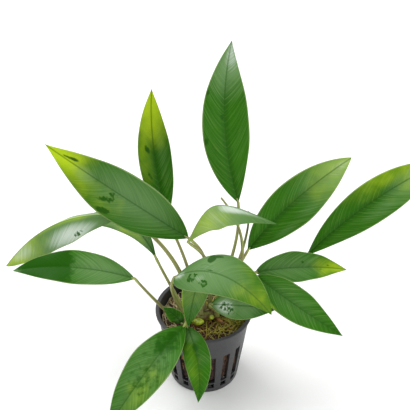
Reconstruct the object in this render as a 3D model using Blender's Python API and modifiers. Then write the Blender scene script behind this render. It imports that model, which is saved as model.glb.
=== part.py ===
"""Anubias barteri congensis growing in a small net pot: pot, plug, rhizome, moss, stalks and blades.

Sizes are in millimetres until mm() turns them into the scene's metres. The pot stands on z = 0 with
its foot centred on the origin, +X is to the right and +Y points away from the viewer."""

import math
from typing import NamedTuple

import bmesh
import bpy
from mathutils import Matrix, Vector

# Net pot: a 5 cm hydroponic cup
POT_HEIGHT = 46.0
POT_TOP_RADIUS = 25.0
POT_FOOT_RADIUS = 18.5
POT_WALL = 1.2
RIM_RADIUS = 26.0
RIM_THICKNESS = 1.3
EDGE_CHAMFER = 0.4
POT_SIDES = 68
SLOT_COUNT = 17
SLOT_FIRST_ANGLE = 11.4  # degrees to the right of the front
SLOT_WIDTH, SLOT_DEPTH = 3.9, 8.0
SLOT_BOTTOM, SLOT_TOP = 8.0, 30.0
WINDOW_WIDTH, WINDOW_DEPTH = 3.3, 6.0
WINDOW_BOTTOM, WINDOW_TOP = 3.5, 7.0
FLOOR_SLOT_WIDTH = 2.6
FLOOR_SLOT_INNER, FLOOR_SLOT_OUTER = 11.5, 16.0
CUT_PAST = 1.0

# Plug of mineral wool and roots inside the pot
GAP = 0.3
STALK_GAP = 0.4
PLUG_BOTTOM, PLUG_TOP = 9.0, 40.5
PLUG_LUMP = 1.2
PLUG_SIDES = 24
PLUG_TOP_RINGS = (0.8, 0.55, 0.28)  # shares of the radius

# Rhizome along the top of the plug: the middle of each stretch and its radius
RHIZOME_PATH = (
    (-15, -1, 43.4, 2.2),
    (-9, -3.5, 43.9, 2.7),
    (-2, -4.5, 44, 2.8),
    (4, -2, 43.9, 2.8),
    (9, 3, 43.8, 2.7),
    (15, 8.5, 43.4, 2.3),
)
BUD_AT, BUD_SIZE = (-3.2, -8.4, 43.9), (3.3, 2.8, 2)
STUB_FROM, STUB_TO, STUB_RADIUS = (3, -4, 43), (4.4, -7, 46), 1.4
ROOT_PATH = ((5, -2, 43), (8, -6, 43), (10.5, -8.5, 42.6))
ROOT_RADIUS = 1.3

# Moss at the right front of the plug, with one strand over the rim
MOSS_AT, MOSS_SIZE = (17.5, -6.5, 42.9), (4.6, 5.0, 2.1)
STRAND_PATH = ((18, -6, 43.5), (21.5, -5.5, 46.2), (25, -5, 47.6), (28, -4.5, 47), (29.5, -4, 45.6))
STRAND_RADIUS = 0.6

# Leaves
BLADE_THICKNESS = 0.8
BLADE_LENGTH_STEPS, BLADE_WIDTH_STEPS = 12, 4
STALK_STEPS = 7
STALK_ROOT_SHARE, STALK_NECK_SHARE = 1.25, 0.9  # of the stalk's radius
STALK_HANDLE_SHARE = 0.4  # of the distance from root to neck

# Rods are 8-sided, and rounded lumps are spheres of 12 by 8 faces
ROD_BEVEL_RESOLUTION = 2
LUMP_SEGMENTS, LUMP_RINGS = 12, 8


class Leaf(NamedTuple):
    """One leaf. Its stalk runs from root to foot, and its blade from foot over middle to tip.

    faces is the way that the upper side looks, lift the angle in degrees by which the left and the
    right half rise above it, belly the place of the widest point along the blade, curl how far the
    edges bend down, bend how sharply the midrib turns at its middle, steady how far the halves keep to
    one direction where it turns, and skew how much further along the left half is widest. stalk is the
    stalk's radius, lean points from the root along it, and neck from the foot back."""

    name: str
    root: tuple
    foot: tuple
    middle: tuple
    tip: tuple
    width: float
    faces: tuple
    lift: tuple = (12, 12)
    belly: float = 0.42
    fullness: float = 1.9
    curl: float = 0.1
    bend: float = 1.0
    steady: float = 0.0
    skew: float = 0.0
    stalk: float = 0.8
    lean: tuple = (0, 0, 22)
    neck: tuple = ()


LEAVES = (
    Leaf(
        "tall", (6.6, 3.3, 47), (17.6, 14, 107), (10.4, 24, 151), (13.7, 38, 189), 25, (0.3, -1, 0.5),
        belly=0.46, fullness=2.1, lean=(5, 1.5, 22), neck=(2, -4, -24),
    ),
    Leaf(
        "back_left", (-5, -1.8, 47.2), (-19.5, 22, 90), (-26, 36, 125), (-26.5, 46, 155.5), 18,
        (0.3, -1, 0.5), lean=(0, 2, 22), neck=(7, -9, -12),
    ),
    Leaf(
        "left", (0, -2.6, 47.2), (-8, 6, 90), (-44, 4, 122), (-78, 10, 147), 29.5, (-0.3, -1, 0.6),
        lift=(8, 20), fullness=2.1, lean=(0, 8, 20), neck=(13, 2, -14),
    ),
    Leaf(
        "folded", (3, -0.6, 47.2), (-8.2, -3, 95), (5.8, -4, 119.8), (37, -3, 107), 22.5, (0, -0.3, 1),
        lift=(-55, -38), belly=0.48, fullness=1.6, bend=2.5, steady=1, lean=(1, 1, 22),
        neck=(15, 1, -14),
    ),
    Leaf(
        "right", (12.8, 5.2, 46.9), (23, 8, 80), (46, 16, 106), (76, 30, 124), 26, (0.2, -1, 0.7),
        lift=(28, 12), belly=0.5, lean=(3, 1, 18),
    ),
    Leaf(
        "far_right", (15.3, 8, 46.3), (55.5, 23, 63), (87, 30, 93), (124, 40, 113), 23, (0, -1, 0.8),
        lift=(22, 12), belly=0.55, lean=(8, 3, 16),
    ),
    Leaf(
        "right_level", (8.2, 0.8, 47), (27, 2, 70), (52, 6, 70), (75, 4, 70), 18, (0, -0.3, 1),
        lift=(38, 8), lean=(4, 0, 14),
    ),
    Leaf(
        "left_pale", (-7.8, -1.5, 47), (-41, 14, 98), (-77, 14, 93), (-107, 18, 60), 24,
        (-0.3, -0.4, 1), lift=(-40, -50), belly=0.46, fullness=1.7, skew=0.1, stalk=1,
        lean=(0, -1, 28), neck=(17, -3, -9),
    ),
    Leaf(
        "left_behind", (-12, 0.5, 46.3), (-25.6, 14, 69.5), (-43, 24, 86), (-70, 34, 76), 12, (0, -1, 1),
        lift=(25, 12), belly=0.5, fullness=2.2, lean=(-3, 2, 8),
    ),
    Leaf(
        "left_low", (-16.8, -3, 41.6), (-36, -4, 71), (-67, -6, 80.5), (-98, -8, 80), 19, (0, -0.5, 1),
        belly=0.46, lean=(-6, 0, 9), neck=(6, 0, -10),
    ),
    Leaf(
        "front", (-12, -5, 47), (-15, -14, 81), (9, -23, 90.5), (34.2, -28, 68), 22.5, (0.2, -0.7, 0.7),
        lift=(0, 0), belly=0.475, fullness=1.6, steady=1, skew=0.125, lean=(-2, -1, 12),
    ),
    Leaf(
        "drooping", (-1.6, -5.9, 47.3), (-1, -2, 67), (-4.3, -11, 69), (-8.3, -21, 53), 14, (0, -1, 0.6),
        belly=0.5, lean=(0, 1, 8),
    ),
    Leaf(
        "low_left", (-10, -6.8, 46.7), (-10, -17, 50), (-27.5, -45, 48), (-49, -62, 21), 22.5,
        (0, -0.4, 1), belly=0.5, lean=(0, -2, 2),
    ),
    Leaf(
        "low_front", (-7.3, -7.7, 45.6), (-9, -13, 45.4), (-3, -40, 45.5), (-3, -53, 30), 14,
        (0, -0.4, 1), lean=(0, -2, 1),
    ),
    Leaf(
        "small", (-14.5, -4.8, 44.5), (-11.8, -12, 46.2), (-15.6, -13, 53.4), (-21.3, -13, 59), 8,
        (0, -1, 0.4), lean=(0, -1, 0), neck=(0.5, 1, -1.5),
    ),
    Leaf(
        "low_right", (6, -1.6, 47), (27, -4, 73), (48, -18, 64.5), (71, -30, 55), 19, (0.2, -0.7, 1),
        lean=(4, 0, 14),
    ),
    Leaf(
        "under", (6.8, -4.4, 44.9), (3.6, -11, 59.2), (21, -14, 61), (39, -12, 57), 15, (0, -0.8, 0.7),
        lean=(1, -1, 6),
    ),
)

# Bare stalks: a stub that lost its blade and a young leaf still rolled up
BARE_STALKS = (
    ("stalk_stub", (10.4, 3, 47), (20, 5, 83), (8.7, 8, 115), 1.0),
    ("rolled_leaf", (10, 6.6, 46.6), (20.5, 12, 78), (23, 13, 102), 0.9),
)

# Base colours in linear light
POT_COLOUR = (0.03, 0.03, 0.034)
PLUG_COLOUR = (0.04, 0.022, 0.014)
RHIZOME_COLOUR = (0.25, 0.36, 0.05)
MOSS_COLOUR = (0.35, 0.36, 0.05)
BLADE_COLOUR = (0.07, 0.2, 0.02)
STALK_COLOUR = (0.22, 0.28, 0.08)


def mm(*values):
    """Millimetres as the scene's metres."""
    return Vector(values) * 0.001


def clear_scene():
    for obj in list(bpy.data.objects):
        bpy.data.objects.remove(obj, do_unlink=True)


def collection(name):
    made = bpy.data.collections.new(name)
    bpy.context.scene.collection.children.link(made)
    return made


def material(name, colour, roughness):
    made = bpy.data.materials.new(name)
    made.use_nodes = True
    shader = made.node_tree.nodes["Principled BSDF"]
    shader.inputs["Base Color"].default_value = (*colour, 1)
    shader.inputs["Roughness"].default_value = roughness
    shader.inputs["Metallic"].default_value = 0
    return made


def add_object(name, data, into, finish=None):
    obj = bpy.data.objects.new(name, data)
    into.objects.link(obj)
    if finish:
        data.materials.append(finish)
    return obj


def shade_round(mesh, sharp_from=40):
    mesh.shade_smooth()
    mesh.set_sharp_from_angle(angle=math.radians(sharp_from))


def mesh_of(name, build):
    """A mesh that build fills in as a bmesh."""
    bm = bmesh.new()
    build(bm)
    mesh = bpy.data.meshes.new(name)
    bm.to_mesh(mesh)
    bm.free()
    return mesh


def bezier(a, b, c, d, t):
    """The point at t on a cubic curve with handles b and c."""
    s = 1 - t
    return a * s**3 + b * 3 * s * s * t + c * 3 * s * t * t + d * t**3


def tube(name, points, radii, into, finish=None):
    """A round rod along points in metres, with a radius in metres at each."""
    curve = bpy.data.curves.new(name, "CURVE")
    curve.dimensions = "3D"
    curve.bevel_depth = 1.0
    curve.bevel_resolution = ROD_BEVEL_RESOLUTION
    curve.use_fill_caps = True
    spline = curve.splines.new("POLY")
    spline.points.add(len(points) - 1)
    for point, at, radius in zip(spline.points, points, radii):
        point.co = (*at, 1)
        point.radius = radius
    return add_object(name, curve, into, finish)


def as_mesh(obj, into):
    """The curve object made a mesh object of the same name, with its caps welded on."""
    graph = bpy.context.evaluated_depsgraph_get()
    graph.update()
    mesh = bpy.data.meshes.new_from_object(obj.evaluated_get(graph))
    bm = bmesh.new()
    bm.from_mesh(mesh)
    bmesh.ops.remove_doubles(bm, verts=bm.verts, dist=0.00001)
    bmesh.ops.recalc_face_normals(bm, faces=bm.faces)
    bm.to_mesh(mesh)
    bm.free()
    name, place = obj.name, obj.matrix_world.copy()
    bpy.data.objects.remove(obj, do_unlink=True)
    made = add_object(name, mesh, into)
    made.matrix_world = place
    return made


def as_cutter(obj):
    obj.hide_render = True
    obj.display_type = "WIRE"
    return obj


def boolean(obj, other, operation):
    modifier = obj.modifiers.new(f"{operation.lower()} {other.name}", "BOOLEAN")
    modifier.operation = operation
    modifier.solver = "EXACT"
    modifier.object = other


# Net pot


def pot_radius(z):
    """The outside of the tapered wall at a height."""
    return POT_FOOT_RADIUS + (POT_TOP_RADIUS - POT_FOOT_RADIUS) * z / POT_HEIGHT


def slot_cutters(into):
    """One mesh of blocks: a long slot, a window and a floor slot on each of the pot's ribs."""
    blocks = (
        (pot_radius((SLOT_BOTTOM + SLOT_TOP) / 2), SLOT_WIDTH, SLOT_DEPTH, SLOT_BOTTOM, SLOT_TOP),
        (pot_radius(WINDOW_BOTTOM), WINDOW_WIDTH, WINDOW_DEPTH, WINDOW_BOTTOM, WINDOW_TOP),
        (
            (FLOOR_SLOT_INNER + FLOOR_SLOT_OUTER) / 2,
            FLOOR_SLOT_WIDTH,
            FLOOR_SLOT_OUTER - FLOOR_SLOT_INNER,
            -CUT_PAST,
            POT_WALL + CUT_PAST,
        ),
    )

    def build(bm):
        for number in range(SLOT_COUNT):
            angle = math.radians(SLOT_FIRST_ANGLE + number * 360 / SLOT_COUNT)
            turn = Matrix.Rotation(angle, 4, "Z")
            for radius, width, depth, low, high in blocks:
                size = Matrix.Diagonal((*mm(width, depth, high - low), 1))
                place = Matrix.Translation(mm(0, -radius, (low + high) / 2))
                bmesh.ops.create_cube(bm, size=1, matrix=turn @ place @ size)

    return as_cutter(add_object("slot_blocks", mesh_of("slot_blocks", build), into))


def make_pot(parts, cutters):
    rim_under = POT_HEIGHT - RIM_THICKNESS
    inner = pot_radius(POT_HEIGHT) - POT_WALL
    profile = (
        (0, POT_WALL),
        (pot_radius(POT_WALL) - POT_WALL, POT_WALL),
        (inner, POT_HEIGHT),
        (RIM_RADIUS - EDGE_CHAMFER, POT_HEIGHT),
        (RIM_RADIUS, POT_HEIGHT - EDGE_CHAMFER),
        (RIM_RADIUS, rim_under + EDGE_CHAMFER),
        (RIM_RADIUS - EDGE_CHAMFER, rim_under),
        (pot_radius(rim_under), rim_under),
        (pot_radius(EDGE_CHAMFER), EDGE_CHAMFER),
        (pot_radius(0) - EDGE_CHAMFER, 0),
        (0, 0),
    )

    def build(bm):
        verts = [bm.verts.new(mm(radius, 0, z)) for radius, z in profile]
        for one, other in zip(verts, verts[1:]):
            bm.edges.new((one, other))

    finish = material("black polypropylene", POT_COLOUR, 0.45)
    pot = add_object("net_pot", mesh_of("net_pot", build), parts, finish)
    screw = pot.modifiers.new("turn", "SCREW")
    screw.axis = "Z"
    screw.steps = screw.render_steps = POT_SIDES
    screw.use_merge_vertices = True
    screw.merge_threshold = 0.00005
    screw.use_smooth_shade = True
    boolean(pot, slot_cutters(cutters), "DIFFERENCE")


# Plug, rhizome and moss


def plug_radius(z):
    """The plug's radius at a height, with its gap to the pot's wall."""
    return pot_radius(z) - POT_WALL - GAP


def move_ring(ring, z, radius):
    """Puts a ring of points at a height and a radius in millimetres."""
    for vert in ring:
        flat = Vector((vert.co.x, vert.co.y, 0)).normalized() * radius
        vert.co = mm(flat.x, flat.y, z)


def grow_ring(bm, edges, z, radius):
    """Extrudes a ring of edges to a height and a radius, and gives the new points and edges."""
    grown = bmesh.ops.extrude_edge_only(bm, edges=edges)["geom"]
    ring = [item for item in grown if isinstance(item, bmesh.types.BMVert)]
    edges = [item for item in grown if isinstance(item, bmesh.types.BMEdge)]
    move_ring(ring, z, radius)
    return ring, [edge for edge in edges if all(vert in ring for vert in edge.verts)]


def make_plug(parts):
    """A tapered drum inside the pot whose top is lumpy."""

    def build(bm):
        bmesh.ops.create_circle(bm, cap_ends=True, cap_tris=False, radius=1, segments=PLUG_SIDES)
        move_ring(bm.verts, PLUG_BOTTOM, plug_radius(PLUG_BOTTOM))
        _, edges = grow_ring(bm, bm.edges[:], PLUG_TOP, plug_radius(PLUG_TOP))
        for share in PLUG_TOP_RINGS:
            ring, edges = grow_ring(bm, edges, PLUG_TOP, share * plug_radius(PLUG_TOP))
            for vert in ring:
                angle = math.atan2(vert.co.y, vert.co.x)
                wave = math.sin(5 * angle + 9 * share) * math.cos(3 * angle - 4 * share)
                vert.co -= mm(0, 0, PLUG_LUMP * (0.5 + 0.5 * wave))
        bmesh.ops.contextual_create(bm, geom=edges)
        bmesh.ops.recalc_face_normals(bm, faces=bm.faces)

    finish = material("mineral wool and roots", PLUG_COLOUR, 0.9)
    plug = add_object("root_plug", mesh_of("root_plug", build), parts, finish)
    shade_round(plug.data)


def lump(name, at, size, into, finish=None):
    """A rounded lump with its middle and its three half sizes in millimetres."""

    def build(bm):
        place = Matrix.Translation(mm(*at)) @ Matrix.Diagonal((*mm(*size), 1))
        bmesh.ops.create_uvsphere(
            bm, u_segments=LUMP_SEGMENTS, v_segments=LUMP_RINGS, radius=1, matrix=place
        )

    return add_object(name, mesh_of(name, build), into, finish)


def rod(name, path, radius, into):
    """A mesh rod of one radius through a path in millimetres."""
    points = [mm(*at) for at in path]
    return as_mesh(tube(name, points, [radius * 0.001] * len(path), into), into)


def make_rhizome(parts, cutters):
    """The creeping stem with its bud, stub and thick root, grown as one piece."""
    points = [mm(x, y, z) for x, y, z, _ in RHIZOME_PATH]
    radii = [radius * 0.001 for *_, radius in RHIZOME_PATH]
    rhizome = as_mesh(tube("rhizome", points, radii, parts), parts)
    rhizome.data.materials.append(material("living rhizome", RHIZOME_COLOUR, 0.5))
    grown = (
        lump("bud_form", BUD_AT, BUD_SIZE, cutters),
        rod("stub_form", (STUB_FROM, STUB_TO), STUB_RADIUS, cutters),
        rod("root_form", ROOT_PATH, ROOT_RADIUS, cutters),
    )
    for form in grown:
        boolean(rhizome, as_cutter(form), "UNION")
    shade_round(rhizome.data)


def make_moss(parts, cutters):
    moss = lump("moss_tuft", MOSS_AT, MOSS_SIZE, parts, material("living moss", MOSS_COLOUR, 0.8))
    strand = rod("strand_form", STRAND_PATH, STRAND_RADIUS, cutters)
    boolean(moss, as_cutter(strand), "UNION")
    shade_round(moss.data)


# Leaves


def midrib(leaf, t):
    """The point and the direction of the midrib at t, from 0 at the foot to 1 at the tip."""
    foot, middle, tip = mm(*leaf.foot), mm(*leaf.middle), mm(*leaf.tip)
    handle = (middle * (2 + 2 * leaf.bend) - foot - tip) / (2 * leaf.bend)
    near, turn, far = (1 - t) ** 2, 2 * leaf.bend * t * (1 - t), t * t
    point = (foot * near + handle * turn + tip * far) / (near + turn + far)
    along = (handle - foot) * near + (tip - foot) * t * (1 - t) / leaf.bend + (tip - handle) * far
    return point, along.normalized()


def half_width(leaf, t, side):
    """Half the blade's width at t: nothing at the foot and the tip, and all of it at the belly."""
    if t <= 0 or t >= 1:
        return 0.0
    belly = leaf.belly - math.copysign(leaf.skew, side)
    low, high = leaf.fullness * belly, leaf.fullness * (1 - belly)
    rise = (t / belly) ** low * ((1 - t) / (1 - belly)) ** high
    return leaf.width * 0.0005 * rise


def blade_point(leaf, t, side):
    """The point of the upper side at t along the blade, with side from -1 left to 1 right."""
    point, along = midrib(leaf, t)
    chord = (mm(*leaf.tip) - mm(*leaf.foot)).normalized()
    along = along.lerp(chord, leaf.steady).normalized()
    up = Vector(leaf.faces)
    up = (up - along * up.dot(along)).normalized()
    right = along.cross(up)
    reach = half_width(leaf, t, side) * abs(side)
    tilt = math.radians(leaf.lift[0] if side < 0 else leaf.lift[1])
    outward = right * math.copysign(math.cos(tilt), side) + up * math.sin(tilt)
    return point + outward * reach - up * leaf.curl * reach * abs(side)


def blade_surface(leaf):
    """The blade's upper side: a grid whose two ends come together at the foot and the tip."""

    def build(bm):
        bmesh.ops.create_grid(
            bm, x_segments=BLADE_WIDTH_STEPS, y_segments=BLADE_LENGTH_STEPS, size=1
        )
        for vert in bm.verts:
            share = (vert.co.y + 1) / 2
            eased = (1 - math.cos(math.pi * share)) / 2
            vert.co = blade_point(leaf, (share + eased) / 2, vert.co.x)
        bmesh.ops.remove_doubles(bm, verts=bm.verts, dist=0.00001)

    return mesh_of(f"blade_{leaf.name}", build)


def make_leaf(leaf, parts, blade_finish, stalk_finish):
    blade = add_object(f"blade_{leaf.name}", blade_surface(leaf), parts, blade_finish)
    solid = blade.modifiers.new("thickness", "SOLIDIFY")
    solid.thickness = BLADE_THICKNESS * 0.001
    solid.offset = -1
    shade_round(blade.data, 60)

    root, (foot, along) = mm(*leaf.root), midrib(leaf, 0)
    end = foot - along * STALK_GAP * 0.001
    straight = (end - root).normalized()
    reach = (end - root).length * STALK_HANDLE_SHARE
    upper = end - (along + straight).normalized() * reach
    if leaf.neck:
        upper = end + mm(*leaf.neck)
    lower = root + mm(*leaf.lean)
    steps = [number / (STALK_STEPS - 1) for number in range(STALK_STEPS)]
    points = [bezier(root, lower, upper, end, t) for t in steps]
    shares = [STALK_ROOT_SHARE + (STALK_NECK_SHARE - STALK_ROOT_SHARE) * t for t in steps]
    radii = [leaf.stalk * 0.001 * share for share in shares]
    tube(f"stalk_{leaf.name}", points, radii, parts, stalk_finish)


def make_bare_stalk(name, root, middle, top, radius, parts, finish):
    root, middle, top = mm(*root), mm(*middle), mm(*top)
    handle = middle * 2 - (root + top) / 2
    steps = [number / (STALK_STEPS - 1) for number in range(STALK_STEPS)]
    points = [root * (1 - t) ** 2 + handle * 2 * t * (1 - t) + top * t * t for t in steps]
    tube(name, points, [radius * 0.001 * (1.2 - 0.7 * t) for t in steps], parts, finish)


def main():
    clear_scene()
    parts = collection("anubias in a net pot")
    cutters = collection("cutters")
    make_pot(parts, cutters)
    make_plug(parts)
    make_rhizome(parts, cutters)
    make_moss(parts, cutters)
    blade_finish = material("leathery leaf", BLADE_COLOUR, 0.35)
    stalk_finish = material("leaf stalk", STALK_COLOUR, 0.4)
    for leaf in LEAVES:
        make_leaf(leaf, parts, blade_finish, stalk_finish)
    for name, root, middle, top, radius in BARE_STALKS:
        make_bare_stalk(name, root, middle, top, radius, parts, stalk_finish)


main()
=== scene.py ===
"""The looks of an anubias barteri congensis in its net pot.

Lengths are in millimetres until mm() turns them into the scene's metres. The pot stands on z = 0 with
its foot centred on the origin, +X is to the right and +Y points away from the viewer. Each leaf is a
blade and a stalk grown along the same lines as the solids that they replace."""

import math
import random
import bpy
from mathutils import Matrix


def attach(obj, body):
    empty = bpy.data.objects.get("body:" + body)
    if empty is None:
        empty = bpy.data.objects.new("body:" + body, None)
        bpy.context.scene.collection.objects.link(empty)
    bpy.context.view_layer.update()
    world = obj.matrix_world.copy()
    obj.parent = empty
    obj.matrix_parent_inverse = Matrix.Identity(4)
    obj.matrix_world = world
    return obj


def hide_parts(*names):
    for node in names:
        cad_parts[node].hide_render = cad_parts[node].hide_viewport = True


bl_info = {
    "name": "Anubias in a net pot",
    "version": (1, 0, 0),
    "blender": (4, 5, 0),
    "location": "3D View > Sidebar > Anubias",
    "description": "Builds a potted anubias with its leaves, stalks, rhizome, moss, root plug and pot",
    "category": "Add Mesh",
}

from functools import partial
from typing import NamedTuple

import bmesh
import bpy
from mathutils import Matrix, Vector, noise

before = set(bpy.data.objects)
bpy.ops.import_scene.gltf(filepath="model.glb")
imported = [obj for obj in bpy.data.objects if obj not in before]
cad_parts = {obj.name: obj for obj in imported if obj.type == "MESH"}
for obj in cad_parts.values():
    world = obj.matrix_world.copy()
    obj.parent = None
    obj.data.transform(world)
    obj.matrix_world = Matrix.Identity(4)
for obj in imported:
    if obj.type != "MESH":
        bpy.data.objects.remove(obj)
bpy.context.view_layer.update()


def srgb(code):
    """A colour written #RRGGBB as linear light."""
    shares = [int(code[at : at + 2], 16) / 255 for at in (1, 3, 5)]
    return tuple(s / 12.92 if s <= 0.04045 else ((s + 0.055) / 1.055) ** 2.4 for s in shares)


def mm(*values):
    """Millimetres as the scene's metres."""
    return Vector(values) * 0.001


def colour_property(name, description, code):
    return bpy.props.FloatVectorProperty(
        name=name, description=description, default=srgb(code), subtype="COLOR", min=0, max=1
    )


def size_property(name, description, value, low=0.01, high=400.0):
    return bpy.props.FloatProperty(
        name=name, description=description + ", in millimetres", default=value, min=low, max=high
    )


# Settings


class LeafSettings(bpy.types.PropertyGroup):
    """Sizes and colours of the blades."""

    thickness: size_property("Thickness", "Thickness of a blade", 0.38)
    vein_spacing: size_property("Vein spacing", "Distance between two side veins", 3.2)
    midrib_width: size_property("Midrib width", "Width of the groove over the midrib", 1.1)
    green: colour_property("Leaf green", "Upper side of a grown leaf", "#2F6905")
    dark: colour_property("Shaded green", "Darker clouds in the leaf green", "#215208")
    light: colour_property("Streak green", "Light streaks that follow the veins", "#70A046")
    young: colour_property("Young green", "Thin young tissue at tips and margins", "#AFCB1E")
    # Painted reflection of the bright surroundings: a grey-green one and a near-white highlight, both painted
    # into the leaf colour
    painted_sheen: colour_property("Painted reflection", "Grey-green reflection of the bright surroundings, painted into the colour", "#668854")
    painted_highlight: colour_property("Painted highlight", "Near-white highlight of the bright surroundings, painted into the colour", "#D5E0D5")
    # Deep green is partly dark patches of the leaf and partly painted: darker green where no reflection
    # falls, beside the painted reflection
    deep: colour_property("Deep green", "Darker saturated green where no reflection falls, and dark patches of the leaf", "#194B00")
    margin: colour_property("Margin", "Thin pale line along the edge", "#9DB070")
    under: colour_property("Under side", "Matt under side of a leaf", "#7C9A5C")


class StalkSettings(bpy.types.PropertyGroup):
    """Colours of the stalks."""

    rind: colour_property("Rind", "Olive rind of a stalk", "#838449")
    brown: colour_property("Old rind", "Brown flush on the rind", "#75664A")
    green: colour_property("Fresh rind", "Yellow-green sides of a stalk", "#A3B45C")


class PotSettings(bpy.types.PropertyGroup):
    """Sizes and colour of the net pot."""

    height: size_property("Height", "Height of the pot", 46.0)
    top_radius: size_property("Top radius", "Outside radius under the rim", 25.0)
    foot_radius: size_property("Foot radius", "Outside radius at the foot", 18.5)
    wall: size_property("Wall", "Thickness of the wall", 1.2)
    rim_radius: size_property("Rim radius", "Outside radius of the rim", 26.0)
    rim_thickness: size_property("Rim thickness", "Height of the rim's edge", 1.3)
    colour: colour_property("Plastic", "Black polypropylene", "#2C2C2E")


class PlugSettings(bpy.types.PropertyGroup):
    """Sizes and colours of what grows in the pot."""

    bottom: size_property("Bottom", "Height of the plug's underside", 9.0)
    top: size_property("Top", "Height of the plug's top", 40.5)
    wool: colour_property("Wet wool", "Mineral wool stained by roots", "#22140D")
    wool_light: colour_property("Dry wool", "Drier tufts of the wool", "#4C332A")
    root: colour_property("Old root", "Brown roots", "#5A3A1C")
    root_fresh: colour_property("Fresh root", "Orange-brown young roots", "#9A6A2C")
    straw: colour_property("Straw", "Dry pale strands", "#CDBB8C")
    moss: colour_property("Moss", "Yellowing moss", "#C2B748")
    moss_green: colour_property("Green moss", "Fresh moss threads", "#768523")
    rhizome: colour_property("Rhizome", "Green skin of the rhizome", "#6E7A2C")
    bud: colour_property("Bud", "Bright young bud", "#B9CC2A")


class StageSettings(bpy.types.PropertyGroup):
    """The floor and the light."""

    floor: colour_property("Floor", "Pale board under the pot", "#F4F4F4")
    sky: bpy.props.FloatProperty(
        name="Sky", description="Strength of the even studio light", default=0.8, min=0, max=5
    )
    key: bpy.props.FloatProperty(
        name="Key", description="Power of the large lamp in watts", default=7.5, min=0, max=500
    )
    pitch: bpy.props.FloatProperty(
        name="Camera pitch",
        description="How far the camera looks down",
        default=math.radians(38.8),
        subtype="ANGLE",
    )
    lens: bpy.props.FloatProperty(
        name="Lens", description="Focal length on a 36 mm sensor, in millimetres", default=105.4
    )


# Leaf shapes and looks


class Leaf(NamedTuple):
    """One leaf. Its stalk runs from root to foot, and its blade from foot over middle to tip.

    faces is the way that the upper side looks, lift the angle in degrees by which the left and the
    right half rise above it, belly the place of the widest point along the blade, curl how far the
    edges bend down, bend how sharply the midrib turns at its middle, steady how far the halves keep to
    one direction where it turns, and skew how much further along the left half is widest. stalk is the
    stalk's radius, lean points from the root along it, and neck from the foot back."""

    name: str
    root: tuple
    foot: tuple
    middle: tuple
    tip: tuple
    width: float
    faces: tuple
    lift: tuple = (12, 12)
    belly: float = 0.42
    fullness: float = 1.9
    curl: float = 0.1
    bend: float = 1.0
    steady: float = 0.0
    skew: float = 0.0
    stalk: float = 0.8
    lean: tuple = (0, 0, 22)
    neck: tuple = ()


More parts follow.
